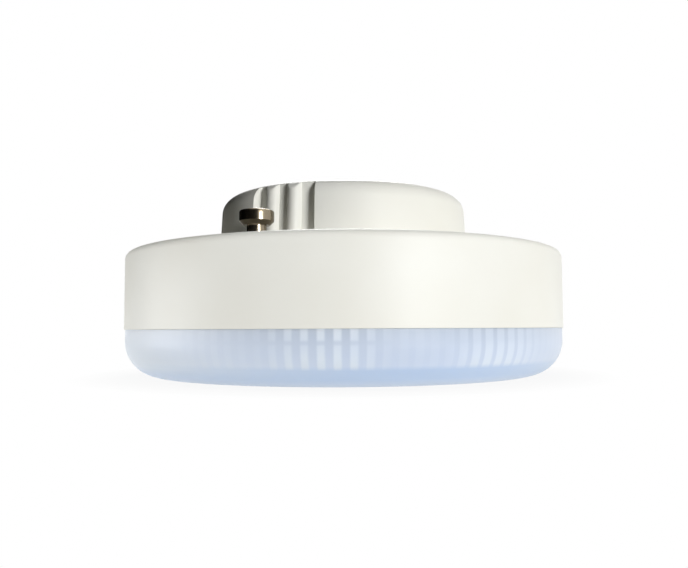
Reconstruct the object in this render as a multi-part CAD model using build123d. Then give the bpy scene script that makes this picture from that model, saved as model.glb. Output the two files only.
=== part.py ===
"""LED disc lamp with a two-pin twist-lock base, standing on its diffuser with the base upwards.

Millimetres, +Z up. The origin is the centre of the diffuser's outer face, which the lamp rests on.
The two contact pins lie on the X axis.
"""

from build123d import *
from math import cos, radians, sin, tan
import os

# Contact pins: turned brass, mushroom headed, riveted through the housing's back
pin_pitch = 53.0
pin_head_diameter = 5.1
pin_head_thickness = 2.2
pin_head_edge = 0.35
pin_head_bevel = 0.6
pin_neck_diameter = 2.9
pin_neck_length = 2.5
pin_seat_diameter = 7.0
pin_seat_height = 1.5
pin_tail_diameter = 1.8
rivet_diameter = 3.0
rivet_thickness = 0.5

# Housing: moulded skirt, back plate and hollow boss in one piece
lamp_diameter = 75.0
skirt_height = 12.6
skirt_wall = 1.4
back_thickness = 2.0
shoulder_radius = 1.2
mouth_radius = 0.12
boss_pin_gap = 2.0
boss_height = 10.2
boss_draft = 3.0
boss_wall = 2.6
boss_top_thickness = 1.6
boss_edge_radius = 2.8

# Recess in the boss behind each pin, with half-round grip ribs
grip_rib_count = 2
grip_rib_pitch = 11.1
grip_rib_turn = 1.25
grip_rib_radius = 1.15
grip_recess_depth = 1.5
grip_recess_turn = 2.45
grip_recess_angle = 28.6

# Diffuser: frosted cup with a ribbed side wall and a snap-in spigot
diffuser_height = 7.7
diffuser_step = 0.2
diffuser_wall = 2.0
diffuser_face = 1.6
diffuser_corner_radius = 5.8
diffuser_inner_radius = 2.0
diffuser_top_radius = 0.12
spigot_height = 2.5
spigot_clearance = 0.1
bead_radius = 0.3
bead_clearance = 0.1
bead_drop = 0.9
prism_count = 112
prism_height = 0.6
prism_base = 1.1
prism_tip = 0.35
prism_start = 2.8
prism_step = 1.5
prism_step_height = 0.9

# Heat sink cup, thermal pad and LED board
cup_wall = 1.0
cup_floor = 1.2
cup_clearance = 0.15
cup_bend_radius = 1.0
cup_spigot_gap = 0.4
pad_thickness = 0.3
pad_margin = 1.5
led_board_thickness = 1.0
led_board_clearance = 0.8
wire_slot_length = 5.2
wire_slot_width = 2.4

# LED packages in two rings
led_length = 3.5
led_width = 2.8
led_thickness = 0.7
led_window_recess = 0.15
led_window_margin = 0.4
led_edge_margin = 6.5
led_inner_ring = 13.5
led_outer_count = 12
led_inner_count = 6

# Screws that hold the LED board and cup to posts in the housing
screw_count = 3
screw_diameter = 2.5
screw_head_diameter = 4.6
screw_head_thickness = 1.4
screw_engagement = 4.5
screw_slot_width = 0.7
screw_slot_depth = 0.6
post_diameter = 5.5
post_gap = 3.2
post_hole_spare = 1.0
through_clearance = 0.15

# Driver board and how the housing holds it
driver_board_thickness = 1.2
driver_board_clearance = 0.45
support_rib_width = 1.6
support_rib_overlap = 1.4
support_rib_length = 6.0
hook_width = 4.0
hook_thickness = 1.4
hook_clearance = 0.2
hook_overlap = 0.7
hook_nose_height = 1.2
sheet_thickness = 0.25

# Driver components
ceiling_clearance = 0.6
input_can_diameter = 8.0
output_can_diameter = 6.3
can_groove_height = 1.6
can_groove_depth = 0.35
can_groove_width = 0.8
film_size = (10.0, 4.2, 8.0)
film_edge = 0.8
drum_diameter = 9.0
drum_height = 8.5
drum_flange = 1.3
drum_post_diameter = 4.2
winding_diameter = 7.8
fuse_diameter = 3.2
fuse_length = 8.0
bridge_size = (4.7, 3.9, 2.5)
diode_size = (4.3, 2.6, 2.2)
chip_size = (4.9, 3.9, 1.5)
resistor_size = (3.2, 1.6, 0.6)
resistor_pitch = 2.6
resistor_count = 4
lead_diameter = 0.6
lead_clearance = 0.1
lead_tail = 1.2

# Where the components stand on the driver board
input_can_place = (7.2, 7.4)
output_can_place = (-7.6, 8.2)
film_place = (9.0, -6.2)
drum_place = (-4.2, -8.8)
fuse_place = (-9.4, -0.6)
bridge_place = (0.4, 2.8)
diode_place = (0.2, 12.0)
chip_place = (-6.0, 4.0)
resistor_place = (7.0, 3.0)

# Wires
wire_diameter = 1.2
wire_bend_radius = 1.5
wire_hole_clearance = 0.15
mains_wire_hole = 15.6
led_wire_offset = 1.3
led_wire_reach = 6.0
led_wire_gap = 0.1

# Solder tags on the pins
tag_thickness = 0.4
tag_diameter = 5.0
tag_tongue_width = 1.8
tag_tongue_length = 6.4
tag_wire_gap = 0.3

# Running fits between the pieces
fit_clearance = 0.02

# Levels along the lamp's axis, from the diffuser's face upwards
z_joint = diffuser_height
z_back = z_joint + skirt_height
z_plate = z_back - back_thickness
z_boss_top = z_back + boss_height
z_ceiling = z_boss_top - boss_top_thickness
z_spigot_top = z_joint + spigot_height
z_bead = z_spigot_top - bead_drop
z_cup_bottom = z_spigot_top + cup_spigot_gap
z_cup_floor = z_cup_bottom + cup_floor
z_led_board_top = z_cup_bottom - pad_thickness
z_led_board = z_led_board_top - led_board_thickness
z_board_top = z_plate - pin_seat_height
z_board = z_board_top - driver_board_thickness
z_seat = z_plate - pin_seat_height
z_wire = z_seat + wire_diameter / 2 + led_wire_gap

# Radii that several pieces share
lamp_radius = lamp_diameter / 2
skirt_inner = lamp_radius - skirt_wall
pin_circle = pin_pitch / 2
boss_radius = pin_circle - pin_head_diameter / 2 - boss_pin_gap
boss_inner = boss_radius - boss_wall
slope = tan(radians(boss_draft))
diffuser_radius = lamp_radius - diffuser_step
diffuser_inner = diffuser_radius - diffuser_wall
spigot_radius = skirt_inner - spigot_clearance
cup_radius = skirt_inner - cup_clearance
cup_inner = cup_radius - cup_wall
led_board_radius = diffuser_inner - led_board_clearance
led_outer_ring = led_board_radius - led_edge_margin
post_circle = cup_inner - post_gap - post_diameter / 2
driver_board_radius = boss_inner - driver_board_clearance
screw_angles = [90 + i * 360 / screw_count for i in range(screw_count)]
hook_angles = [30 + i * 120 for i in range(3)]
rib_angles = [90 + i * 120 for i in range(3)]

UP = (Align.CENTER, Align.CENTER, Align.MIN)
DOWN = (Align.CENTER, Align.CENTER, Align.MAX)


def disc(radius, low, high):
    """Upright cylinder on the lamp's axis between two levels."""
    return Pos(0, 0, low) * Cylinder(radius, high - low, align=UP)


def rod(x, y, diameter, low, high):
    """Upright cylinder at a place on the plan."""
    return Pos(x, y, low) * Cylinder(diameter / 2, high - low, align=UP)


def block(size, x, y, low):
    """Upright box that stands on a level."""
    return Pos(x, y, low) * Box(*size, align=UP)


def around(angle, radius=0.0):
    """Place at an angle and a radius about the lamp's axis, turned to face outwards."""
    return Rot(0, 0, angle) * Pos(radius, 0, 0)


def rings_of(shape, level):
    """Round edges of a shape that lie at a level."""
    return [e for e in shape.edges().filter_by(GeomType.CIRCLE) if abs(e.center().Z - level) < 1e-4]


def bead_ring(radius, bead):
    """Half-round ring about the lamp's axis at the snap bead's level."""
    return revolve(Plane.XZ * Pos(radius, z_bead) * Circle(bead), Axis.Z)


def wire_slot(low, high):
    """Slot on the axis that both LED wires pass through."""
    return Pos(0, 0, low) * extrude(SlotOverall(wire_slot_length, wire_slot_width), high - low)


def screw_holes(diameter, low, high):
    """Clearance holes for the board screws, as one cutter."""
    hole = rod(post_circle, 0, diameter, low, high)
    return [Rot(0, 0, a) * hole for a in screw_angles]


def tapered(radius, low, high):
    """Upright cone with the boss's draft, of a given radius at the back face's level."""
    foot = radius - (low - z_back) * slope
    return Pos(0, 0, low) * Cone(foot, foot - (high - low) * slope, high - low, align=UP)


def gripped_boss():
    """Tapered boss with a recess behind each pin and half-round ribs in it, following the taper."""
    envelope = tapered(boss_radius, z_back, z_boss_top)
    envelope = fillet(rings_of(envelope, z_boss_top), boss_edge_radius)
    floor_radius = boss_radius - grip_recess_depth
    reach = 2 * boss_radius
    ends = [radians(grip_recess_turn + s * grip_recess_angle / 2) for s in (-1, 1)]
    corners = [(reach * cos(end), reach * sin(end)) for end in ends]
    wedge = Pos(0, 0, z_back) * extrude(Polygon((0, 0), *corners, align=None), boss_height)
    recess = (disc(reach, z_back, z_boss_top) - tapered(floor_radius, z_back, z_boss_top)) & wedge
    rib = Pos(0, 0, -boss_height) * Cylinder(grip_rib_radius, 3 * boss_height, align=UP)
    rib = Pos(floor_radius, 0, z_back) * Rot(0, -boss_draft, 0) * rib
    first = grip_rib_turn - (grip_rib_count - 1) / 2 * grip_rib_pitch
    turns = [side + first + i * grip_rib_pitch for side in (0, 180) for i in range(grip_rib_count)]
    ribs = [envelope & Rot(0, 0, turn) * rib for turn in turns]
    return envelope - [recess, Rot(0, 0, 180) * recess] + ribs


def driver_supports():
    """Ribs that the driver board seats against, and hooks that snap under its edge."""
    rib_inner = driver_board_radius - support_rib_overlap
    rib_size = (boss_inner + boss_wall / 2 - rib_inner, support_rib_width, support_rib_length)
    rib = Pos(rib_inner, 0, z_board_top) * Box(*rib_size, align=(Align.MIN, Align.CENTER, Align.MIN))
    hook_inner = driver_board_radius + hook_clearance
    nose_low = z_board - hook_nose_height
    arm_size = (hook_thickness, hook_width, z_plate + back_thickness / 2 - nose_low)
    arm = Pos(hook_inner, 0, nose_low) * Box(*arm_size, align=(Align.MIN, Align.CENTER, Align.MIN))
    nose_tip = driver_board_radius - hook_overlap
    with BuildSketch(Plane.XZ) as outline:
        with BuildLine():
            Polyline(
                (hook_inner, z_board - fit_clearance),
                (nose_tip, z_board - fit_clearance),
                (hook_inner, nose_low),
                close=True,
            )
        make_face()
    nose = extrude(outline.sketch, hook_width / 2, both=True)
    ribs = [Rot(0, 0, a) * rib for a in rib_angles]
    hooks = [Rot(0, 0, a) * (arm + nose) for a in hook_angles]
    return ribs + hooks


def make_housing():
    """White moulded housing: skirt, back plate, gripped boss, screw posts, pin seats and board supports."""
    shell = disc(lamp_radius, z_joint, z_back)
    shell = fillet(rings_of(shell, z_back), shoulder_radius)
    shell = fillet(rings_of(shell, z_joint), mouth_radius)
    shell += gripped_boss()
    shell -= disc(skirt_inner, z_joint, z_plate)
    shell -= tapered(boss_inner, z_plate, z_ceiling)
    shell -= bead_ring(skirt_inner, bead_radius + bead_clearance)
    seats = [rod(s * pin_circle, 0, pin_seat_diameter, z_seat, z_plate) for s in (-1, 1)]
    posts = [around(a) * rod(post_circle, 0, post_diameter, z_cup_floor, z_plate) for a in screw_angles]
    shell += seats + posts + driver_supports()
    pin_hole = pin_neck_diameter + 2 * fit_clearance
    shell -= [rod(s * pin_circle, 0, pin_hole, z_seat, z_back) for s in (-1, 1)]
    hole_top = z_cup_floor + screw_engagement + post_hole_spare
    return shell - screw_holes(screw_diameter + 2 * fit_clearance, z_cup_floor, hole_top)


def prism_ring(height, low, high):
    """Ring of upright prism ribs on the inside of the diffuser's wall between two levels."""
    root = diffuser_inner + diffuser_wall / 4
    tip = diffuser_inner - height
    prism = Polygon(
        (root, -prism_base / 2),
        (root, prism_base / 2),
        (tip, prism_tip / 2),
        (tip, -prism_tip / 2),
        align=None,
    )
    ribs = Sketch() + [Rot(0, 0, (i + 0.5) * 360 / prism_count) * prism for i in range(prism_count)]
    return Pos(0, 0, low) * extrude(ribs, high - low)


def make_diffuser():
    """Frosted cup with a flat face, a large outer corner, inner prism ribs and a spigot with a snap bead."""
    cup = disc(diffuser_radius, 0, z_joint)
    cup = fillet(rings_of(cup, 0), diffuser_corner_radius)
    cup = fillet(rings_of(cup, z_joint), diffuser_top_radius)
    cup += disc(spigot_radius, z_joint, z_spigot_top)
    cup += bead_ring(spigot_radius, bead_radius)
    hollow = disc(diffuser_inner, diffuser_face, z_spigot_top)
    cup -= fillet(rings_of(hollow, diffuser_face), diffuser_inner_radius)
    cup += prism_ring(prism_height, prism_start, z_joint)
    return cup + prism_ring(prism_step_height, z_joint - prism_step, z_joint)


def make_contact_pin(side):
    """Turned pin: head with a bevelled underside, neck through the back plate, and a tail riveted over its solder tag."""
    z_head = z_back + pin_neck_length
    z_tag = z_seat - tag_thickness
    x = side * pin_circle
    head = rod(x, 0, pin_head_diameter, z_head, z_head + pin_head_thickness)
    head = fillet(rings_of(head, z_head + pin_head_thickness), pin_head_edge)
    head = chamfer(rings_of(head, z_head), pin_head_bevel)
    neck = rod(x, 0, pin_neck_diameter, z_seat, z_head)
    tail = rod(x, 0, pin_tail_diameter, z_tag - rivet_thickness, z_seat)
    rivet = Pos(x, 0, z_tag) * Cone(
        rivet_diameter / 2, pin_tail_diameter / 2, rivet_thickness, rotation=(180, 0, 0), align=UP
    )
    return head + neck + tail + rivet


def make_solder_tag(side):
    """Brass ring under the pin's rivet, with a tongue towards the axis for the wire."""
    ring = rod(0, 0, tag_diameter, z_seat - tag_thickness, z_seat)
    tongue_size = (tag_tongue_length, tag_tongue_width, tag_thickness)
    tongue = Pos(0, 0, z_seat - tag_thickness) * Box(
        *tongue_size, align=(Align.MAX, Align.CENTER, Align.MIN)
    )
    hole = rod(0, 0, pin_tail_diameter + 2 * fit_clearance, z_seat - tag_thickness, z_seat)
    tag = Pos(pin_circle, 0, 0) * (ring + tongue - hole)
    return tag if side > 0 else Rot(0, 0, 180) * tag


def make_heat_sink_cup():
    """Pressed aluminium cup that lines the skirt; its rim meets the back plate."""
    cup = disc(cup_radius, z_cup_bottom, z_plate)
    cup = fillet(rings_of(cup, z_cup_bottom), cup_bend_radius + cup_floor)
    hollow = disc(cup_inner, z_cup_floor, z_plate)
    cup -= fillet(rings_of(hollow, z_cup_floor), cup_bend_radius)
    cup -= screw_holes(screw_diameter + 2 * through_clearance, z_cup_bottom, z_cup_floor)
    return cup - wire_slot(z_cup_bottom, z_cup_floor)


def make_thermal_pad():
    """Soft grey pad between the LED board and the cup."""
    pad = disc(led_board_radius - pad_margin, z_led_board_top, z_cup_bottom)
    pad -= screw_holes(screw_diameter + 2 * through_clearance, z_led_board_top, z_cup_bottom)
    return pad - wire_slot(z_led_board_top, z_cup_bottom)


def make_led_board():
    """Round aluminium-cored board with screw holes and a wire slot."""
    board = disc(led_board_radius, z_led_board, z_led_board_top)
    board -= screw_holes(screw_diameter + 2 * through_clearance, z_led_board, z_led_board_top)
    return board - wire_slot(z_led_board, z_led_board_top)


def led_places():
    """Two rings of places; the outer one keeps clear of the screws."""
    outer_step = 360 / led_outer_count
    inner_step = 360 / led_inner_count
    outer = [around((i + 0.5) * outer_step, led_outer_ring) for i in range(led_outer_count)]
    inner = [around((i + 0.5) * inner_step, led_inner_ring) for i in range(led_inner_count)]
    return outer + inner


def make_led_packages():
    """White LED frames, each with a recessed window facing down."""
    frame = block((led_width, led_length, led_thickness), 0, 0, z_led_board - led_thickness)
    window = (led_width - 2 * led_window_margin, led_length - 2 * led_window_margin, led_window_recess)
    frame -= block(window, 0, 0, z_led_board - led_thickness)
    return Compound([place * frame for place in led_places()])


def make_led_phosphor():
    """Yellow phosphor fill of each LED window."""
    window = (led_width - 2 * led_window_margin, led_length - 2 * led_window_margin, led_window_recess)
    fill = block(window, 0, 0, z_led_board - led_thickness)
    return Compound([place * fill for place in led_places()])


def make_board_screws():
    """Pan-head screws through board, pad and cup into the posts."""
    head_low = z_led_board - screw_head_thickness
    head = rod(0, 0, screw_head_diameter, head_low, z_led_board)
    head = fillet(rings_of(head, head_low), screw_head_thickness / 3)
    head -= block((screw_head_diameter, screw_slot_width, screw_slot_depth), 0, 0, head_low)
    screw = head + rod(0, 0, screw_diameter, z_led_board, z_cup_floor + screw_engagement)
    return Compound([around(a, post_circle) * screw for a in screw_angles])


def make_insulating_sheet():
    """Thin film on the cup's floor under the driver board."""
    sheet = disc(driver_board_radius, z_cup_floor, z_cup_floor + sheet_thickness)
    return sheet - wire_slot(z_cup_floor, z_cup_floor + sheet_thickness)


def lead_places():
    """Plan places of every component lead, by component."""
    places = {
        "input_capacitor": (input_can_place, input_can_diameter * 0.45, 0),
        "output_capacitor": (output_can_place, output_can_diameter * 0.45, 0),
        "film_capacitor": (film_place, film_size[0] * 0.75, 0),
        "inductor_core": (drum_place, drum_diameter * 0.6, 0),
        "fuse_resistor": (fuse_place, fuse_length + 2 * lead_diameter, 90),
    }
    found = {}
    for name, ((x, y), pitch, turn) in places.items():
        ends = [Pos(x, y) * Rot(0, 0, turn) * Pos(s * pitch / 2, 0) for s in (-1, 1)]
        found[name] = [(end.position.X, end.position.Y) for end in ends]
    return found


def leads_of(name):
    """Two straight leads that pass through the driver board."""
    return [rod(x, y, lead_diameter, z_board - lead_tail, z_board_top) for x, y in lead_places()[name]]


def make_driver_board():
    """Round driver board with lead holes and wire holes."""
    board = disc(driver_board_radius, z_board, z_board_top)
    lead_hole = lead_diameter + 2 * lead_clearance
    wire_hole = wire_diameter + 2 * wire_hole_clearance
    leads = [place for pair in lead_places().values() for place in pair]
    board -= [rod(x, y, lead_hole, z_board, z_board_top) for x, y in leads]
    wires = [(s * mains_wire_hole, 0) for s in (-1, 1)] + [(s * led_wire_offset, 0) for s in (-1, 1)]
    return board - [rod(x, y, wire_hole, z_board, z_board_top) for x, y in wires]


def make_capacitor(name, place, diameter):
    """Electrolytic can with a crimp groove above its bung, as tall as the boss allows."""
    x, y = place
    can = rod(x, y, diameter, z_board_top, z_ceiling - ceiling_clearance)
    ring = Rectangle(2 * can_groove_depth, can_groove_width)
    groove = revolve(Plane.XZ * Pos(diameter / 2, z_board_top + can_groove_height) * ring, Axis.Z)
    return can - Pos(x, y, 0) * groove + leads_of(name)


def make_film_capacitor():
    """Boxed film capacitor with rounded upright edges."""
    box = block(film_size, *film_place, z_board_top)
    box = fillet(box.edges().filter_by(Axis.Z), film_edge)
    return box + leads_of("film_capacitor")


def make_inductor_core():
    """Ferrite drum: two flanges on a post."""
    x, y = drum_place
    low, high = z_board_top, z_board_top + drum_height
    core = rod(x, y, drum_diameter, low, low + drum_flange)
    core += rod(x, y, drum_diameter, high - drum_flange, high)
    core += rod(x, y, drum_post_diameter, low, high)
    return core + leads_of("inductor_core")


def make_inductor_winding():
    """Copper winding between the drum's flanges."""
    x, y = drum_place
    low, high = z_board_top + drum_flange, z_board_top + drum_height - drum_flange
    winding = rod(x, y, winding_diameter, low, high)
    return winding - rod(x, y, drum_post_diameter + 2 * fit_clearance, low, high)


def make_fuse_resistor():
    """Axial resistor lying on the board, with its leads turned down through it."""
    x, y = fuse_place
    z_axis = z_board_top + fuse_diameter / 2
    body = Pos(x, y, z_axis) * Cylinder(fuse_diameter / 2, fuse_length, rotation=(90, 0, 0))
    body = fillet(body.edges().filter_by(GeomType.CIRCLE), fuse_diameter / 5)
    span = fuse_length + 2 * lead_diameter
    across = Pos(x, y, z_axis) * Cylinder(lead_diameter / 2, span, rotation=(90, 0, 0))
    drops = [rod(px, py, lead_diameter, z_board - lead_tail, z_axis) for px, py in lead_places()["fuse_resistor"]]
    return body + across + drops


def make_package(size, place, underside=False):
    """Moulded component body with a small chamfer, on either side of the driver board."""
    low = z_board - size[2] if underside else z_board_top
    body = block(size, *place, low)
    return chamfer(body.edges(), size[2] / 8)


def make_chip_resistors():
    """Row of chip resistors under the driver board."""
    x, y = resistor_place
    low = z_board - resistor_size[2]
    row = [block(resistor_size, x, y - i * resistor_pitch, low) for i in range(resistor_count)]
    return Compound(row)


def tube(points, radii):
    """Round wire along straight runs joined by tangent arcs."""
    path = FilletPolyline(*points, radius=radii)
    start = Plane(origin=path @ 0, z_dir=path % 0)
    return sweep(start * Circle(wire_diameter / 2), path=path)


def make_mains_wire(side):
    """Wire from a solder tag's tongue along the board's top and down through its hole."""
    x_start = pin_circle - pin_seat_diameter / 2 - tag_wire_gap
    route = [(x_start, 0, z_wire), (mains_wire_hole, 0, z_wire), (mains_wire_hole, 0, z_board - lead_tail)]
    wire = tube(route, [wire_bend_radius])
    return wire if side > 0 else Rot(0, 0, 180) * wire


def make_led_wire(side):
    """Wire from the driver board down through the slots, turned out along the LED board's face."""
    z_end = z_led_board - led_wire_gap - wire_diameter / 2
    route = [(led_wire_offset, 0, z_board_top), (led_wire_offset, 0, z_end), (led_wire_reach, 0, z_end)]
    wire = tube(route, [wire_bend_radius])
    return wire if side > 0 else Rot(0, 0, 180) * wire


pieces = {
    "housing": make_housing(),
    "diffuser": make_diffuser(),
    "contact_pin_left": make_contact_pin(-1),
    "contact_pin_right": make_contact_pin(1),
    "solder_tag_left": make_solder_tag(-1),
    "solder_tag_right": make_solder_tag(1),
    "heat_sink_cup": make_heat_sink_cup(),
    "thermal_pad": make_thermal_pad(),
    "led_board": make_led_board(),
    "led_packages": make_led_packages(),
    "led_phosphor": make_led_phosphor(),
    "board_screws": make_board_screws(),
    "insulating_sheet": make_insulating_sheet(),
    "driver_board": make_driver_board(),
    "input_capacitor": make_capacitor("input_capacitor", input_can_place, input_can_diameter),
    "output_capacitor": make_capacitor("output_capacitor", output_can_place, output_can_diameter),
    "film_capacitor": make_film_capacitor(),
    "inductor_core": make_inductor_core(),
    "inductor_winding": make_inductor_winding(),
    "fuse_resistor": make_fuse_resistor(),
    "bridge_rectifier": make_package(bridge_size, bridge_place),
    "fast_diode": make_package(diode_size, diode_place),
    "driver_chip": make_package(chip_size, chip_place, underside=True),
    "chip_resistors": make_chip_resistors(),
    "live_wire": make_mains_wire(-1),
    "neutral_wire": make_mains_wire(1),
    "led_wire_negative": make_led_wire(-1),
    "led_wire_positive": make_led_wire(1),
}

os.makedirs("parts", exist_ok=True)
for name, piece in pieces.items():
    export_step(piece, f"parts/{name}.step")
    print(name, round(sum(s.volume for s in piece.solids()), 1))
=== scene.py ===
import bpy
import math
import numpy as np
from mathutils import Matrix, Vector


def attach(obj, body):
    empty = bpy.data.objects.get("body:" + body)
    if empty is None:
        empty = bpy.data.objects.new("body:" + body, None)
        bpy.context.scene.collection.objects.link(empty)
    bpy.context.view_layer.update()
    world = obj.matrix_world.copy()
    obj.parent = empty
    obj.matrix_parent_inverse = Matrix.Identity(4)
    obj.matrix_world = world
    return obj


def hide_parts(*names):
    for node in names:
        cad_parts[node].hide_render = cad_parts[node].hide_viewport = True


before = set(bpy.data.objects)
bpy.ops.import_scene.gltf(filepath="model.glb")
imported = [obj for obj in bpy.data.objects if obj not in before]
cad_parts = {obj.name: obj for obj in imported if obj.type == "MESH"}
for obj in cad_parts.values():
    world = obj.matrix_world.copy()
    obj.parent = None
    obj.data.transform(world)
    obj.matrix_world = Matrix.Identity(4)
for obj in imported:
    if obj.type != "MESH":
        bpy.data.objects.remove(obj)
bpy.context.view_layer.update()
mm = 0.001
hardEdge = 32  # degrees between two faces, past which their edge stays sharp
print("frame loaded:", len(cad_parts), "nodes")


def linear(hexColour):
    # sRGB hex to linear RGBA
    rgb = np.array([int(hexColour[i:i + 2], 16) for i in (1, 3, 5)]) / 255
    low, high = rgb / 12.92, ((rgb + 0.055) / 1.055) ** 2.4
    return (*np.where(rgb <= 0.04045, low, high).tolist(), 1.0)


def add(tree, kind, sockets=None, **settings):
    # one node: settings are its own properties, sockets take a value or another node's output
    node = tree.nodes.new(kind)
    for key, value in settings.items():
        setattr(node, key, value)
    for key, value in (sockets or {}).items():
        if isinstance(value, bpy.types.NodeSocket):
            tree.links.new(value, node.inputs[key])
        else:
            node.inputs[key].default_value = value
    return node


def emptied(owner):
    # node tree of a material or a world, with nothing in it
    owner.use_nodes = True
    owner.node_tree.nodes.clear()
    return owner.node_tree


def blank(name):
    # new material with a Principled shader, its output, and the place of each point on the piece
    material = bpy.data.materials.new(name)
    tree = emptied(material)
    shader = add(tree, "ShaderNodeBsdfPrincipled")
    add(tree, "ShaderNodeOutputMaterial", {"Surface": shader.outputs[0]})
    place = add(tree, "ShaderNodeTexCoord").outputs["Object"]
    return material, tree, shader, place


def linked(name, data):
    # new object in the scene, at the origin
    thing = bpy.data.objects.new(name, data)
    bpy.context.scene.collection.objects.link(thing)
    return thing


# Surfaces turned about the lamp's axis

def line(start, end, steps):
    # straight stretch of a profile, its end left for the next stretch
    return np.linspace(start, end, steps, endpoint=False)


def arc(centre, radius, fromDeg, toDeg, steps):
    # round corner of a profile: centre + radius (cos t, sin t)
    t = np.radians(np.linspace(fromDeg, toDeg, steps))
    return np.column_stack((centre[0] + radius * np.cos(t), centre[1] + radius * np.sin(t)))


def carried(profile, angles):
    # radius and height of a profile carried round the axis, one column for each angle
    return [np.repeat(column[:, None], len(angles), axis=1) for column in profile.T]


def spun(name, radius, height, angles, centre=(0.0, 0.0)):
    # point(i, j) = (r_ij cos a_j, r_ij sin a_j, z_ij), closed round the axis, a fan at each pole
    rows, cols = radius.shape
    x = centre[0] + radius * np.cos(angles)
    y = centre[1] + radius * np.sin(angles)
    ring = np.stack((x, y, height), axis=-1).reshape(-1, 3)
    poles = np.array([[*centre, height[0, 0]], [*centre, height[-1, 0]]])
    i, j = np.arange(rows - 1)[:, None] * cols, np.arange(cols)[None, :]
    k = (j + 1) % cols
    corners = np.broadcast_arrays(i + j, i + k, i + cols + k, i + cols + j)
    quads = np.stack(corners, axis=-1).reshape(-1, 4)
    first, last, top = rows * cols, rows * cols + 1, (rows - 1) * cols
    startFan = np.stack(np.broadcast_arrays(first, k[0], j[0]), axis=-1)
    endFan = np.stack(np.broadcast_arrays(last, top + j[0], top + k[0]), axis=-1)
    faces = quads.tolist() + startFan.tolist() + endFan.tolist()
    mesh = bpy.data.meshes.new(name)
    mesh.from_pydata((np.vstack((ring, poles)) * mm).tolist(), [], faces)
    mesh.polygons.foreach_set("use_smooth", np.ones(len(faces), dtype=bool))
    mesh.set_sharp_from_angle(angle=math.radians(hardEdge))
    mesh.update()
    piece = linked(name, mesh)
    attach(piece, "root")
    return piece


def smoothStep(low, high, value):
    # 0 below low, 1 above high, and 3 t^2 - 2 t^3 between them
    t = np.clip((value - low) / (high - low), 0, 1)
    return t * t * (3 - 2 * t)


# Housing: skirt, back plate and tapered boss with half-round grip ribs in a recess behind each pin.
# Here and in the next two pieces lengths are in mm and turns in degrees, pole is the radius of the last ring
# round the axis, and a hold is the short first step of a flat after a round, so that the rest looks flat

housing = {
    "outer": 37.5, "inner": 36.1, "mouth": 7.7, "back": 20.3, "plate": 18.3, "shoulder": 1.2, "lip": 0.04,
    "bossFoot": 21.95, "bossTop": 30.5, "ceiling": 28.9, "draft": 3.0, "bossEdge": 2.8, "bossWall": 2.6,
    "ribCount": 2, "ribPitch": 11.1, "ribTurn": 1.25, "ribRadius": 1.15,
    "recessTurn": 2.45, "recessHalf": 14.3, "recessDepth": 1.5, "wallRound": 0.12,
    "beadHeight": 9.3, "beadGroove": 0.4,
    "pole": 0.8, "hold": 0.1, "backHold": 0.5, "bossHold": 0.4,
    "fineTurn": 0.15, "wideTurn": 1.5, "fineSpare": 2.0,  # columns close together at the ribs, wide elsewhere
}


def housingProfile(h):
    # out along the ceiling, down the inside, round the mouth, up the skirt, in to the boss and over its top
    inner, outer, plate, back, mouth = h["inner"], h["outer"], h["plate"], h["back"], h["mouth"]
    lip, shoulder, edge, foot = h["lip"], h["shoulder"], h["bossEdge"], h["bossFoot"]
    draft = math.radians(h["draft"])
    slope = math.tan(draft)
    cavityFoot = foot - h["bossWall"] + (back - plate) * slope
    cavityTop = cavityFoot - (h["ceiling"] - plate) * slope
    bossRim = foot - (h["bossTop"] - back) * slope
    edgeX = bossRim - edge * math.tan(math.pi / 4 - draft / 2)
    edgeZ = h["bossTop"] - edge
    sideEnd = (edgeX + edge * math.cos(draft), edgeZ + edge * math.sin(draft))
    low, high = h["beadHeight"] - h["beadGroove"], h["beadHeight"] + h["beadGroove"]
    body = np.vstack((
        line((h["pole"], h["ceiling"]), (cavityTop, h["ceiling"]), 4),
        line((cavityTop, h["ceiling"]), (cavityFoot, plate), 4),
        line((cavityFoot, plate), (inner, plate), 4),
        line((inner, plate), (inner, high), 3),
        arc((inner, h["beadHeight"]), h["beadGroove"], 90, -90, 7),
        line((inner, low - h["hold"]), (inner, mouth), 3),
        line((inner, mouth), (outer - lip, mouth), 3),
        arc((outer - lip, mouth + lip), lip, -90, 0, 5),
        line((outer, mouth + lip + h["hold"]), (outer, back - shoulder), 5),
        arc((outer - shoulder, back - shoulder), shoulder, 0, 90, 9),
        line((outer - shoulder - h["backHold"], back), (foot + h["bossHold"], back), 5),
        line((foot + h["bossHold"], back), (foot, back), 2),
    ))
    boss = np.vstack((
        line((foot, back), sideEnd, 12),
        arc((edgeX, edgeZ), edge, h["draft"], 90, 16),
        line((edgeX - h["bossHold"], h["bossTop"]), (h["pole"], h["bossTop"]), 5),
        [[h["pole"], h["bossTop"]]],
    ))
    return np.vstack((body, boss)), len(body)


def recessDepth(angles, h):
    # depth = recess, less each rib's half round of sqrt(ribRadius^2 - s^2), s the arc from the rib's middle
    turn = (angles + 90) % 180 - 90
    arcTo = h["bossFoot"] - h["recessDepth"]
    wall = np.radians(np.abs(turn - h["recessTurn"]) - h["recessHalf"]) * arcTo
    floor = h["recessDepth"] * (1 - smoothStep(-h["wallRound"], h["wallRound"], wall))
    rib = h["ribTurn"] + (np.arange(h["ribCount"]) - (h["ribCount"] - 1) / 2) * h["ribPitch"]
    s = np.radians(turn[:, None] - rib[None, :]) * arcTo
    bulge = np.sqrt(np.clip(h["ribRadius"] ** 2 - s ** 2, 0, None)).max(axis=1)
    return np.clip(floor - bulge, 0, None)


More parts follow.
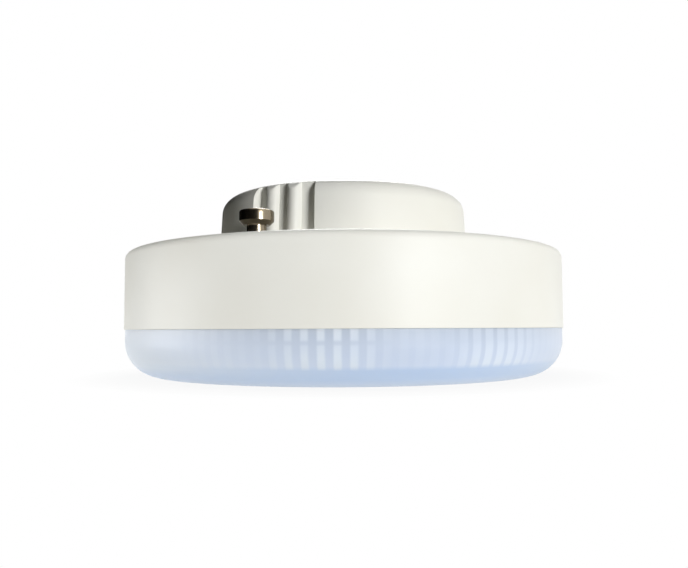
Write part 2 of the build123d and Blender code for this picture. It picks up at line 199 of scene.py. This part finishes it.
def housingPiece(h):
    # boss wall: r = min(profile, bossFoot - (z - back) tan(draft) - depth(angle))
    reach = h["recessHalf"] + h["fineSpare"]
    low, high = h["recessTurn"] - reach, h["recessTurn"] + reach
    fine = np.arange(low, high, h["fineTurn"])
    wide = np.arange(high, 180 + low, h["wideTurn"])
    angles = np.concatenate((fine, wide, fine + 180, wide + 180))
    profile, bossStart = housingProfile(h)
    radius, height = carried(profile, angles)
    taper = math.tan(math.radians(h["draft"]))
    wall = h["bossFoot"] - (height - h["back"]) * taper - recessDepth(angles, h)[None, :]
    onBoss = np.arange(len(profile))[:, None] >= bossStart
    radius = np.where(onBoss, np.minimum(radius, wall), radius)
    return spun("housingShell", radius, height, np.radians(angles))


housingShell = housingPiece(housing)
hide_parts("housing")
print("housing made:", len(housingShell.data.polygons), "faces")

# Diffuser: cup with a large outer corner, prism ribs inside its side wall, and a spigot with a snap bead

diffuser = {
    "outer": 37.3, "inner": 35.3, "face": 1.6, "corner": 5.8, "innerCorner": 2.0, "top": 7.7, "lip": 0.04,
    "spigot": 36.0, "spigotTop": 10.2, "bead": 0.3, "beadHeight": 9.3,
    "ribCount": 112, "ribHeight": 0.6, "ribBase": 1.1, "ribTip": 0.35, "ribStart": 2.8, "ribFoot": 0.06,
    "stepHeight": 0.9, "step": 1.5,
    "pole": 0.8, "cornerHold": 0.3, "lipHold": 0.2, "beadHold": 0.1, "bowlHold": 0.5, "stepHold": 0.02,
}


def diffuserPiece(d):
    # inner wall: r = inner - ribHeight over each tip, falling straight to the wall between tip and base
    outer, inner, corner, top, lip = d["outer"], d["inner"], d["corner"], d["top"], d["lip"]
    spigot, bead, bowl, face = d["spigot"], d["bead"], d["innerCorner"], d["face"]
    pitch = 360 / d["ribCount"]
    tip = math.degrees(d["ribTip"] / 2 / inner)
    base = math.degrees(d["ribBase"] / 2 / inner)
    foot = base + d["ribFoot"]
    steps = np.array([-foot, -base, -tip, tip, base, foot, pitch / 2])
    tips = np.array([0, 0, 1, 1, 0, 0, 0])  # 1 where a step is on a rib's tip
    angles = ((np.arange(d["ribCount"])[:, None] + 0.5) * pitch + steps).ravel()
    lift = np.tile(tips, d["ribCount"])
    outside = np.vstack((
        line((d["pole"], 0), (outer - corner, 0), 8),
        arc((outer - corner, corner), corner, -90, 0, 22),
        line((outer, corner + d["cornerHold"]), (outer, top - lip), 3),
        arc((outer - lip, top - lip), lip, 0, 90, 5),
        line((outer - lip - d["lipHold"], top), (spigot, top), 3),
        line((spigot, top), (spigot, d["beadHeight"] - bead), 3),
        arc((spigot, d["beadHeight"]), bead, -90, 90, 7),
        line((spigot, d["beadHeight"] + bead + d["beadHold"]), (spigot, d["spigotTop"]), 3),
        line((spigot, d["spigotTop"]), (inner, d["spigotTop"]), 2),
        line((inner, d["spigotTop"]), (inner, top + d["stepHold"]), 3),
    ))
    stepEnd = top - d["step"]
    inside = np.vstack((
        np.linspace((inner, top), (inner, stepEnd), 3),
        np.linspace((inner, stepEnd - d["stepHold"]), (inner, face + bowl), 7),
        arc((inner - bowl, face + bowl), bowl, 0, -90, 14)[1:],
        line((inner - bowl - d["bowlHold"], face), (d["pole"], face), 8),
        [[d["pole"], face]],
    ))
    profile = np.vstack((outside, inside))
    radius, height = carried(profile, angles)
    onWall = (np.arange(len(profile)) >= len(outside)) & (profile[:, 1] >= d["ribStart"])
    ribHeight = np.where(profile[:, 1] > stepEnd - d["stepHold"] / 2, d["stepHeight"], d["ribHeight"])
    ribbedRadius = np.minimum(radius, inner - ribHeight[:, None] * lift[None, :])
    radius = np.where(onWall[:, None], ribbedRadius, radius)
    return spun("diffuserCup", radius, height, np.radians(angles))


diffuserCup = diffuserPiece(diffuser)
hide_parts("diffuser")
print("diffuser made:", len(diffuserCup.data.polygons), "faces")

# Contact pins: turned, with a head bevelled underneath, a neck and a riveted tail

pin = {
    "place": 26.5, "head": 2.55, "neck": 1.45, "underHead": 22.8, "headTop": 25.0, "edge": 0.35, "bevel": 0.6,
    "seat": 16.8, "tail": 0.9, "tag": 16.4, "rivet": 1.5, "end": 15.9,
    "pole": 0.2, "hold": 0.2, "turn": 3.0,
}


def pinPiece(name, side, p):
    # profile turned about the pin's own axis: up tail, rivet, neck and bevel, and over the head's round edge
    tail, neck, head, rivet, edge = p["tail"], p["neck"], p["head"], p["rivet"], p["edge"]
    under, bevelIn, bevelTop = p["underHead"], head - p["bevel"], p["underHead"] + p["bevel"]
    profile = np.vstack((
        line((p["pole"], p["end"]), (tail, p["end"]), 3),
        line((tail, p["end"]), (rivet, p["tag"]), 3),
        line((rivet, p["tag"]), (tail, p["tag"]), 2),
        line((tail, p["tag"]), (tail, p["seat"]), 2),
        line((tail, p["seat"]), (neck, p["seat"]), 2),
        line((neck, p["seat"]), (neck, under), 6),
        line((neck, under), (bevelIn, under), 3),
        line((bevelIn, under), (head, bevelTop), 3),
        line((head, bevelTop), (head, p["headTop"] - edge), 4),
        arc((head - edge, p["headTop"] - edge), edge, 0, 90, 9),
        line((head - edge - p["hold"], p["headTop"]), (p["pole"], p["headTop"]), 4),
        [[p["pole"], p["headTop"]]],
    ))
    angles = np.radians(np.arange(0, 360, p["turn"]))
    radius, height = carried(profile, angles)
    return spun(name, radius, height, angles, (side * p["place"], 0.0))


pinPieces = {}
for side, word in ((-1, "left"), (1, "right")):
    piece = pinPiece("turnedPin" + word.capitalize(), side, pin)
    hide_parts("contact_pin_" + word)
    pinPieces[word] = piece
print("pins made")

# Finishes: lengths in mm, turns in degrees

whitePlastic = {
    "cloud": 22.0, "tones": ("#ecebe2", "#f0f0e9"), "toneStops": (0.35, 0.65),
    "grain": 0.4, "rough": (0.42, 0.56), "relief": 0.05, "reliefShare": 0.06, "ior": 1.5, "shine": 0.35,
}


def housingFinish(w):
    # PBT, injection moulded in a fine spark-eroded tool: soft satin, slightly cream, no clear reflections;
    # cloud is the size of the flow marks, and the grain is 0.1 mm on the real one, drawn coarser to show
    material, tree, shader, place = blank("mouldedWhitePbt")
    cloud = add(tree, "ShaderNodeTexNoise", {"Vector": place, "Scale": 1 / (w["cloud"] * mm), "Detail": 3.0})
    tint = add(tree, "ShaderNodeValToRGB", {"Fac": cloud.outputs["Fac"]})
    for stop, position, tone in zip(tint.color_ramp.elements, w["toneStops"], w["tones"]):
        stop.position, stop.color = position, linear(tone)
    grain = add(tree, "ShaderNodeTexNoise", {"Vector": place, "Scale": 1 / (w["grain"] * mm), "Detail": 2.0})
    satin = add(tree, "ShaderNodeMapRange", {
        "Value": grain.outputs["Fac"], "To Min": w["rough"][0], "To Max": w["rough"][1]})
    bump = add(tree, "ShaderNodeBump", {
        "Height": grain.outputs["Fac"], "Strength": w["reliefShare"], "Distance": w["relief"] * mm})
    tree.links.new(tint.outputs["Color"], shader.inputs["Base Color"])
    tree.links.new(satin.outputs["Result"], shader.inputs["Roughness"])
    tree.links.new(bump.outputs["Normal"], shader.inputs["Normal"])
    shader.inputs["IOR"].default_value = w["ior"]
    shader.inputs["Specular IOR Level"].default_value = w["shine"]
    return material


frost = {
    # cosine waves round the lamp: how many, and their shift
    "waves": {
        "ribs": (diffuser["ribCount"], 180.0), "zones": (9, -31.5), "thirds": (3, 124.5), "sides": (2, -97.0),
    },
    # what differs in every third zone: its value away from there, and there
    "inThirds": {
        "stripeFrom": (-0.9, -0.5), "stripeTo": (0.0, 0.7), "clear": (0.5, 0.85), "tall": (1.0, 1.6),
        "paintedStepShade": (1.0, 0.35),
    },
    # what differs with height: the heights where it starts and ends, and its value at each
    "heights": {
        "ribbed": (diffuser["ribStart"] - 0.4, diffuser["ribStart"] + 0.2, 0.0, 1.0),
        "fade": (3.2, 6.2, 1.8, 0.85), "paintedTopShade": (2.8, 7.2, 0.0, 1.0),
        "offFace": (0.4, 2.2, 0.0, 0.85), "onFace": (1.2, 0.0, 0.0, 0.7),
    },
    "thirdFrom": -0.5, "zoneBand": (-0.6, 0.8), "zoneLeast": 0.08, "thinFrom": -0.6, "thinLeast": 0.02,
    "faintAt": -0.1, "faintReach": 0.6, "faint": 0.2, "paintedReflectionBand": (1.0, -0.9),
    "stepBlur": 0.2, "stepShadeDrop": 0.3, "stepShadeFrom": 0.1, "stepShadeTo": 0.4,
    # colours: the rim, the wall low down and with painted shade at the top, a painted pale reflection, the
    # face, and the paler painted light over the ribs
    "rim": "#c1d4ee", "wallLow": "#d3dff2", "shadedWallTop": "#bdc9da",
    "pale": "#eaf2fe", "face": "#d6e0ec", "paintedRibStripe": "#e4edf9",
    "rough": 0.5, "ior": 1.58, "shine": 0.35, "through": 0.04, "milk": 0.6, "milkDepth": 1.2,
}


def diffuserFinish(d, f):
    # Frosted polycarbonate: milky blue with a soft gloss, deeper at the solid rim, with painted shade
    # that turns it more grey towards the top. The prism ribs inside show through the wall as paler stripes of
    # painted light, clear in nine zones round the lamp. In every third zone they are narrow and strong, with
    # a painted highlight where the ribs stand taller at the top above a dark line of painted shade, and
    # elsewhere only thin gaps part them. Towards two sides a painted pale reflection lies on the wall and the
    # stripes fade
    material, tree, shader, place = blank("frostedPolycarbonate")
    part = add(tree, "ShaderNodeSeparateXYZ", {"Vector": place})
    turn = add(tree, "ShaderNodeMath", {0: part.outputs["Y"], 1: part.outputs["X"]}, operation="ARCTAN2")
    waves = {}
    for name, (count, shift) in f["waves"].items():
        phase = add(tree, "ShaderNodeMath", {0: turn.outputs[0], 1: float(count), 2: math.radians(shift)},
                    operation="MULTIPLY_ADD")
        waves[name] = add(tree, "ShaderNodeMath", {0: phase.outputs[0]}, operation="COSINE").outputs[0]
    third = add(tree, "ShaderNodeMapRange", {"Value": waves["thirds"], "From Min": f["thirdFrom"]})
    inThirds = {}
    for name, (away, there) in f["inThirds"].items():
        level = add(tree, "ShaderNodeMapRange", {"Value": third.outputs[0], "To Min": away, "To Max": there})
        inThirds[name] = level.outputs[0]
    heights = {}
    for name, (start, end, startValue, endValue) in f["heights"].items():
        level = add(tree, "ShaderNodeMapRange", {
            "Value": part.outputs["Z"], "From Min": start * mm, "From Max": end * mm,
            "To Min": startValue, "To Max": endValue})
        heights[name] = level.outputs[0]

    # painted light over the ribs: a paler band over each real rib, which shows more in some zones round the
    # lamp
    paintedRibStripe = add(tree, "ShaderNodeMapRange", {
        "Value": waves["ribs"], "From Min": inThirds["stripeFrom"], "From Max": inThirds["stripeTo"]},
        interpolation_type="SMOOTHSTEP")
    zone = add(tree, "ShaderNodeMapRange", {
        "Value": waves["zones"], "From Min": f["zoneBand"][0], "From Max": f["zoneBand"][1],
        "To Min": f["zoneLeast"], "To Max": inThirds["clear"]})
    thin = add(tree, "ShaderNodeMapRange", {
        "Value": waves["sides"], "From Min": f["thinFrom"], "To Min": f["thinLeast"]})
    clear = add(tree, "ShaderNodeMath", {0: zone.outputs[0], 1: thin.outputs[0]}, operation="MULTIPLY")
    offFaint = add(tree, "ShaderNodeMath", {0: waves["sides"], 1: f["faintAt"]}, operation="SUBTRACT")
    offFaint = add(tree, "ShaderNodeMath", {0: offFaint.outputs[0]}, operation="ABSOLUTE")
    faint = add(tree, "ShaderNodeMapRange", {
        "Value": offFaint.outputs[0], "From Max": f["faintReach"], "To Min": f["faint"], "To Max": 0.0})
    clear = add(tree, "ShaderNodeMath", {0: clear.outputs[0], 1: faint.outputs[0]}, operation="MAXIMUM")
    stepEnd = d["top"] - d["step"]
    # painted highlight: the stripes brighter where the ribs stand taller at the top
    tall = add(tree, "ShaderNodeMapRange", {
        "Value": part.outputs["Z"], "From Min": (stepEnd - f["stepBlur"]) * mm,
        "From Max": (stepEnd + f["stepBlur"]) * mm, "To Min": 1.0, "To Max": inThirds["tall"]})
    # painted shade: a dark line across the stripes just below where the ribs stand taller
    stepShadePlace = (stepEnd - f["stepShadeDrop"]) * mm
    offStepShade = add(tree, "ShaderNodeMath", {0: part.outputs["Z"], 1: stepShadePlace}, operation="SUBTRACT")
    offStepShade = add(tree, "ShaderNodeMath", {0: offStepShade.outputs[0]}, operation="ABSOLUTE")
    paintedStepShade = add(tree, "ShaderNodeMapRange", {
        "Value": offStepShade.outputs[0], "From Min": f["stepShadeFrom"] * mm, "From Max": f["stepShadeTo"] * mm,
        "To Min": inThirds["paintedStepShade"]})
    # painted light over the ribs: their share in each zone, times the painted highlight and shade at the
    # step, the fade with height and the ribbed height
    paintedRibLight = clear.outputs[0]
    for share in (tall.outputs[0], paintedStepShade.outputs[0], heights["fade"], heights["ribbed"], paintedRibStripe.outputs[0]):
        paintedRibLight = add(tree, "ShaderNodeMath", {0: paintedRibLight, 1: share}, operation="MULTIPLY").outputs[0]
    # painted reflection: the wall paler towards two sides, less so near the face
    pale = add(tree, "ShaderNodeMapRange", {
        "Value": waves["sides"], "From Min": f["paintedReflectionBand"][0], "From Max": f["paintedReflectionBand"][1],
        "To Max": heights["offFace"]}).outputs[0]

    # painted shade: the wall's tone darker towards the top
    wall = add(tree, "ShaderNodeMix", {
        "Factor": heights["paintedTopShade"], "A": linear(f["wallLow"]), "B": linear(f["shadedWallTop"])}, data_type="RGBA")
    colour = add(tree, "ShaderNodeMix", {
        "Factor": heights["ribbed"], "A": linear(f["rim"]), "B": wall.outputs["Result"]}, data_type="RGBA")
    for share, tone in ((pale, f["pale"]), (heights["onFace"], f["face"]), (paintedRibLight, f["paintedRibStripe"])):
        colour = add(tree, "ShaderNodeMix", {
            "Factor": share, "A": colour.outputs["Result"], "B": linear(tone)}, data_type="RGBA")
    tree.links.new(colour.outputs["Result"], shader.inputs["Base Color"])
    shader.inputs["Roughness"].default_value = f["rough"]
    shader.inputs["IOR"].default_value = f["ior"]
    shader.inputs["Specular IOR Level"].default_value = f["shine"]
    shader.inputs["Transmission Weight"].default_value = f["through"]
    shader.inputs["Subsurface Weight"].default_value = f["milk"]
    shader.inputs["Subsurface Radius"].default_value = (1.0, 1.0, 1.0)
    shader.inputs["Subsurface Scale"].default_value = f["milkDepth"] * mm
    return material


nickelPlate = {
    "tone": "#918673", "rough": 0.2, "turning": 0.754, "waver": 0.6, "relief": 0.02, "reliefShare": 0.08,
}


def nickelFinish(n):
    # Nickel plate on turned brass: warm silver, clear reflections broken by fine turning lines, which are
    # drawn 0.75 mm apart to show; a wave texture has 10 / pi bands in each unit, so scale = pi / 10 / pitch
    material, tree, shader, place = blank("nickelPlatedBrass")
    rings = add(tree, "ShaderNodeTexWave", {
        "Vector": place, "Scale": math.pi / 10 / (n["turning"] * mm), "Distortion": n["waver"]},
        bands_direction="Z")
    bump = add(tree, "ShaderNodeBump", {
        "Height": rings.outputs["Fac"], "Strength": n["reliefShare"], "Distance": n["relief"] * mm})
    tree.links.new(bump.outputs["Normal"], shader.inputs["Normal"])
    shader.inputs["Base Color"].default_value = linear(n["tone"])
    shader.inputs["Metallic"].default_value = 1.0
    shader.inputs["Roughness"].default_value = n["rough"]
    return material


housingShell.data.materials.append(housingFinish(whitePlastic))
diffuserCup.data.materials.append(diffuserFinish(diffuser, frost))
nickel = nickelFinish(nickelPlate)
for piece in pinPieces.values():
    piece.data.materials.append(nickel)

# Finishes of the inner pieces: two tones, the size of the spots in which they mix, and gloss

mottle = {"roughSpread": 0.07, "relief": 0.05, "bandRelief": 0.1, "bandShare": 0.6}

innerLooks = {
    # Deep-drawn aluminium: silver grey with soft cloudy draw marks
    "drawnAluminium": {
        "nodes": ["heat_sink_cup"],
        "tones": ("#b4b7ba", "#cfd2d4"), "spot": 6.0, "rough": 0.36, "metallic": 1.0, "reliefShare": 0.05},
    # Stamped brass: yellow, with dull patches where the solder's heat has run
    "stampedBrass": {
        "nodes": ["solder_tag_left", "solder_tag_right"],
        "tones": ("#a78545", "#cbaa62"), "spot": 1.5, "rough": 0.34, "metallic": 1.0, "reliefShare": 0.05},
    # Zinc-plated steel: bluish silver, slightly patchy
    "zincPlatedSteel": {
        "nodes": ["board_screws"],
        "tones": ("#aeb4bb", "#ced3d8"), "spot": 0.8, "rough": 0.3, "metallic": 1.0, "reliefShare": 0.05},
    # Silicone gap pad: matt grey rubber with a fine filler grain
    "siliconePad": {
        "nodes": ["thermal_pad"],
        "tones": ("#858c91", "#9aa1a5"), "spot": 0.3, "rough": 0.8, "reliefShare": 0.1},
    # Solder mask on an aluminium board: clean glossy white
    "whiteSolderMask": {
        "nodes": ["led_board"],
        "tones": ("#eceeec", "#f6f7f4"), "spot": 4.0, "rough": 0.3},
    # Moulded frames of the light-emitting diodes: opaque warm white, satin
    "ledFramePlastic": {
        "nodes": ["led_packages"],
        "tones": ("#e6e2d6", "#f2efe5"), "spot": 0.5, "rough": 0.45},
    # Phosphor in silicone: deep yellow, wet-looking, with a fine grain
    "phosphorGel": {
        "nodes": ["led_phosphor"],
        "tones": ("#dfae2c", "#f0cc58"), "spot": 0.1, "rough": 0.16},
    # Polyester film: milky, smooth and glossy
    "polyesterFilm": {
        "nodes": ["insulating_sheet"],
        "tones": ("#d6dad6", "#e6e9e4"), "spot": 8.0, "rough": 0.25},
    # Glass-epoxy board: green, with the 0.5 mm weave showing faintly in it
    "glassEpoxyBoard": {
        "nodes": ["driver_board"], "bands": (0.5, "X"),
        "tones": ("#2d6b3f", "#377849"), "spot": 0.5, "rough": 0.35},
    # Shrunk PVC sleeve: near-black blue, glossy
    "pvcSleeve": {
        "nodes": ["input_capacitor", "output_capacitor"],
        "tones": ("#1a2233", "#242d42"), "spot": 3.0, "rough": 0.25},
    # Dipped epoxy: brick red and glossy, softly uneven
    "dippedEpoxy": {
        "nodes": ["film_capacitor"],
        "tones": ("#9c3d22", "#b65030"), "spot": 2.0, "rough": 0.22, "reliefShare": 0.15},
    # Ferrite: charcoal ceramic, matt, with a fine sintered grain
    "sinteredFerrite": {
        "nodes": ["inductor_core"],
        "tones": ("#333437", "#47484b"), "spot": 0.2, "rough": 0.6, "reliefShare": 0.1},
    # Enamelled copper wire: amber red, one band for each 0.35 mm turn
    "enamelledCopper": {
        "nodes": ["inductor_winding"], "bands": (0.35, "Z"),
        "tones": ("#7c3a1b", "#c98148"), "spot": 0.35, "rough": 0.3, "metallic": 0.8},
    # Flameproof resistor lacquer: pale green, eggshell
    "resistorLacquer": {
        "nodes": ["fuse_resistor"],
        "tones": ("#7f9a86", "#94ad9a"), "spot": 0.6, "rough": 0.5, "reliefShare": 0.1},
    # Moulded epoxy: black, with the fine matt grain of its mould
    "blackMouldedEpoxy": {
        "nodes": ["bridge_rectifier", "fast_diode", "driver_chip", "chip_resistors"],
        "tones": ("#17181a", "#25272a"), "spot": 0.15, "rough": 0.55, "reliefShare": 0.1},
    # PVC wire insulation, four of them: plain bright colours, soft gloss
    "brownPvcInsulation": {
        "nodes": ["live_wire"],
        "tones": ("#5b371f", "#6d4529"), "spot": 1.0, "rough": 0.38},
    "bluePvcInsulation": {
        "nodes": ["neutral_wire"],
        "tones": ("#1f4f9c", "#2c60b2"), "spot": 1.0, "rough": 0.38},
    "blackPvcInsulation": {
        "nodes": ["led_wire_negative"],
        "tones": ("#1a1b1c", "#27292b"), "spot": 1.0, "rough": 0.38},
    "redPvcInsulation": {
        "nodes": ["led_wire_positive"],
        "tones": ("#a81f1c", "#c02d28"), "spot": 1.0, "rough": 0.38},
}


def innerFinish(name, look):
    # noise with spots of a real size moves the gloss; tones and relief follow it, or bands of a real pitch
    material, tree, shader, place = blank(name)
    noise = add(tree, "ShaderNodeTexNoise", {
        "Vector": place, "Scale": 1 / (look["spot"] * mm), "Detail": 3.0})
    satin = add(tree, "ShaderNodeMapRange", {
        "Value": noise.outputs["Fac"],
        "To Min": look["rough"] - mottle["roughSpread"], "To Max": look["rough"] + mottle["roughSpread"]})
    level, reliefShare, relief = noise.outputs["Fac"], look.get("reliefShare", 0.0), mottle["relief"]
    if "bands" in look:
        pitch, axis = look["bands"]
        part = add(tree, "ShaderNodeSeparateXYZ", {"Vector": place}).outputs[axis]
        phase = add(tree, "ShaderNodeMath", {0: part, 1: 2 * math.pi / (pitch * mm)}, operation="MULTIPLY")
        wave = add(tree, "ShaderNodeMath", {0: phase.outputs[0]}, operation="COSINE")
        level = add(tree, "ShaderNodeMapRange", {"Value": wave.outputs[0], "From Min": -1.0}).outputs[0]
        reliefShare, relief = mottle["bandShare"], mottle["bandRelief"]
    deep, pale = look["tones"]
    shade = add(tree, "ShaderNodeMix", {
        "Factor": level, "A": linear(deep), "B": linear(pale)}, data_type="RGBA")
    bump = add(tree, "ShaderNodeBump", {"Height": level, "Strength": reliefShare, "Distance": relief * mm})
    tree.links.new(shade.outputs["Result"], shader.inputs["Base Color"])
    tree.links.new(satin.outputs["Result"], shader.inputs["Roughness"])
    tree.links.new(bump.outputs["Normal"], shader.inputs["Normal"])
    shader.inputs["Metallic"].default_value = look.get("metallic", 0.0)
    return material


def dress(material, nodes):
    # new finish on the CAD nodes' own slots
    for node in nodes:
        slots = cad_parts[node].data.materials
        if not slots:
            slots.append(material)
        for i in range(len(slots)):
            slots[i] = material


for name, look in innerLooks.items():
    dress(innerFinish(name, look), look["nodes"])
print("finishes made")

# Stage, light and camera: lengths in mm, azimuths in degrees to the right of the camera's own

studio = {"azimuth": -61.5, "fill": 0.04}


def around(azimuth, distance, height):
    # place about the lamp's axis
    a = math.radians(studio["azimuth"] + azimuth)
    return Vector((math.sin(a) * distance, -math.cos(a) * distance, height)) * mm


def seenDirectly(tree):
    # 1 for camera, mirror and see-through rays, so that the background is plain white for them
    path = add(tree, "ShaderNodeLightPath").outputs
    share = path["Is Camera Ray"]
    for ray in ("Is Glossy Ray", "Is Transmission Ray"):
        share = add(tree, "ShaderNodeMath", {0: share, 1: path[ray]}, operation="MAXIMUM").outputs[0]
    return share


def studioRoom():
    # world: white where it is seen, a faint fill elsewhere
    world = bpy.data.worlds.new("studioRoom")
    bpy.context.scene.world = world
    tree = emptied(world)
    strength = add(tree, "ShaderNodeMapRange", {
        "Value": seenDirectly(tree), "To Min": studio["fill"], "To Max": 1.0})
    sky = add(tree, "ShaderNodeBackground", {"Color": (1, 1, 1, 1), "Strength": strength.outputs[0]})
    add(tree, "ShaderNodeOutputWorld", {"Surface": sky.outputs[0]})


floorSheet = {
    "radius": 1500.0, "sides": 96, "drop": 0.045, "paper": "#a6a6a6",
    "whiteFrom": 34.0, "whiteTo": 46.0, "whiteLeast": 0.92,  # as seen: a trace of shadow close to the lamp
    "glowFrom": 28.0, "glowTo": 43.0, "glow": 0.95,  # as light: a soft glow under the rim
}


def floorPaper(f):
    # paper that glows by its distance from the axis, and is clear from underneath
    material = bpy.data.materials.new("whitePaper")
    tree = emptied(material)
    place = add(tree, "ShaderNodeTexCoord").outputs["Object"]
    apart = add(tree, "ShaderNodeVectorMath", {0: place}, operation="LENGTH").outputs["Value"]
    white = add(tree, "ShaderNodeMapRange", {
        "Value": apart, "From Min": f["whiteFrom"] * mm, "From Max": f["whiteTo"] * mm,
        "To Min": f["whiteLeast"], "To Max": 1.0})
    under = add(tree, "ShaderNodeMapRange", {
        "Value": apart, "From Min": f["glowFrom"] * mm, "From Max": f["glowTo"] * mm,
        "To Min": f["glow"], "To Max": 0.0})
    factor = add(tree, "ShaderNodeMapRange", {
        "Value": seenDirectly(tree), "To Min": under.outputs[0], "To Max": white.outputs[0]})
    paper = add(tree, "ShaderNodeBsdfDiffuse", {"Color": linear(f["paper"])})
    glow = add(tree, "ShaderNodeEmission", {"Color": (1, 1, 1, 1), "Strength": 1.0})
    above = add(tree, "ShaderNodeMixShader", {0: factor.outputs[0], 1: paper.outputs[0], 2: glow.outputs[0]})
    below = add(tree, "ShaderNodeNewGeometry").outputs["Backfacing"]
    glass = add(tree, "ShaderNodeBsdfTransparent")
    table = add(tree, "ShaderNodeMixShader", {0: below, 1: above.outputs[0], 2: glass.outputs[0]})
    add(tree, "ShaderNodeOutputMaterial", {"Surface": table.outputs[0]})
    return material


def studioFloor(f):
    # round sheet just below the lamp: (radius cos t, radius sin t, -drop)
    t = np.linspace(0, 2 * np.pi, f["sides"], endpoint=False)
    x, y = f["radius"] * np.cos(t), f["radius"] * np.sin(t)
    ring = np.column_stack((x, y, np.full(f["sides"], -f["drop"])))
    mesh = bpy.data.meshes.new("studioFloor")
    mesh.from_pydata((ring * mm).tolist(), [], [list(range(f["sides"]))])
    mesh.materials.append(floorPaper(f))
    linked("studioFloor", mesh)


softboxes = {
    # azimuth, distance, height, the light's width and height, watts, and the height on the axis that it faces
    "keySoftbox": (31.5, 500, 48, (110, 110), 2.0, 18),
    "backSoftbox": (180, 500, 360, (160, 160), 2.4, 18),
    "rightStrip": (100, 160, 10, (100, 16), 0.013, 10),
    "rearSoftbox": (168, 500, 110, (110, 110), 0.6, 18),
    "topSoftbox": (55, 350, 350, (200, 200), 0.18, 18),
    "leftStrip": (-80, 160, 10, (100, 16), 0.116, 10),
    "frontStrip": (-25, 160, 10, (100, 16), 0.019, 10),
}


def softbox(name, azimuth, distance, height, size, watts, facing):
    # area light turned to the lamp's axis
    light = bpy.data.lights.new(name, "AREA")
    light.shape, light.energy = "RECTANGLE", watts
    light.size, light.size_y = size[0] * mm, size[1] * mm
    box = linked(name, light)
    spot = around(azimuth, distance, height)
    toAxis = Vector((0, 0, facing * mm)) - spot
    box.matrix_world = Matrix.LocRotScale(spot, toAxis.to_track_quat("-Z", "Y"), None)
    box.visible_camera = False


card = {
    "shelfFrom": -100.0, "wallFrom": -158.0, "keyEdge": -64.0, "near": 38.2, "far": 200.0, "shelf": 20.2,
    "high": 400.0, "steps": 99, "rings": 24, "felt": "#2a2a2a",
}


def blackCard(c):
    # black card on the left: a shelf keeps the strips' light off the boss, and boss and pin mirror its wall;
    # the shelf's front edge is a line past the skirt along the key's light: turn = keyEdge + acos(near / r)
    across = np.append(np.linspace(c["near"], c["far"], c["rings"]), c["far"])[:, None]
    level = np.append(np.full(c["rings"], c["shelf"]), c["high"])[:, None]
    first = np.interp(across, (c["near"], c["far"]), (c["shelfFrom"], c["wallFrom"]))
    last = c["keyEdge"] + np.degrees(np.arccos(c["near"] / across))
    turns = first + (last - first) * np.linspace(0, 1, c["steps"])
    turns = np.radians(studio["azimuth"] + turns)
    sheet = np.broadcast_arrays(np.sin(turns) * across, -np.cos(turns) * across, level)
    points = np.stack(sheet, axis=-1).reshape(-1, 3) * mm
    k = (np.arange(c["rings"])[:, None] * c["steps"] + np.arange(c["steps"] - 1)).ravel()
    faces = np.column_stack((k, k + 1, k + 1 + c["steps"], k + c["steps"]))
    felt = bpy.data.materials.new("blackFelt")
    tree = emptied(felt)
    matt = add(tree, "ShaderNodeBsdfDiffuse", {"Color": linear(c["felt"])})
    add(tree, "ShaderNodeOutputMaterial", {"Surface": matt.outputs[0]})
    mesh = bpy.data.meshes.new("blackCard")
    mesh.from_pydata(points.tolist(), [], faces.tolist())
    mesh.materials.append(felt)
    piece = linked("blackCard", mesh)
    piece.visible_camera = False


view = {
    "distance": 120.0, "height": 7.67, "pitch": 3.85, "roll": 0.27,
    "sensor": 36.0, "lens": 34.88, "shift": 0.0008, "clipStart": 1.0,
}


def photoCamera(v):
    # camera at the studio's own azimuth, pitched up and rolled a little
    pitch, roll = math.radians(v["pitch"]), math.radians(v["roll"])
    forward = -around(0, 1, 0).normalized()
    up = Vector((0, 0, 1))
    aim = forward * math.cos(pitch) + up * math.sin(pitch)
    right = aim.cross(up).normalized()
    upright = right.cross(aim)
    camRight = right * math.cos(roll) - upright * math.sin(roll)
    camUp = upright * math.cos(roll) + right * math.sin(roll)
    lens = bpy.data.cameras.new("photoCamera")
    lens.sensor_fit, lens.sensor_width, lens.lens = "HORIZONTAL", v["sensor"], v["lens"]
    lens.shift_x, lens.clip_start = v["shift"], v["clipStart"] * mm
    camera = linked("photoCamera", lens)
    turn = Matrix((camRight, camUp, -aim)).transposed().to_4x4()
    camera.matrix_world = Matrix.Translation(around(0, v["distance"], v["height"])) @ turn
    bpy.context.scene.camera = camera


studioRoom()
studioFloor(floorSheet)
for name, settings in softboxes.items():
    softbox(name, *settings)
blackCard(card)
photoCamera(view)
bpy.context.scene.view_settings.view_transform = "Standard"
print("stage, light and camera made")
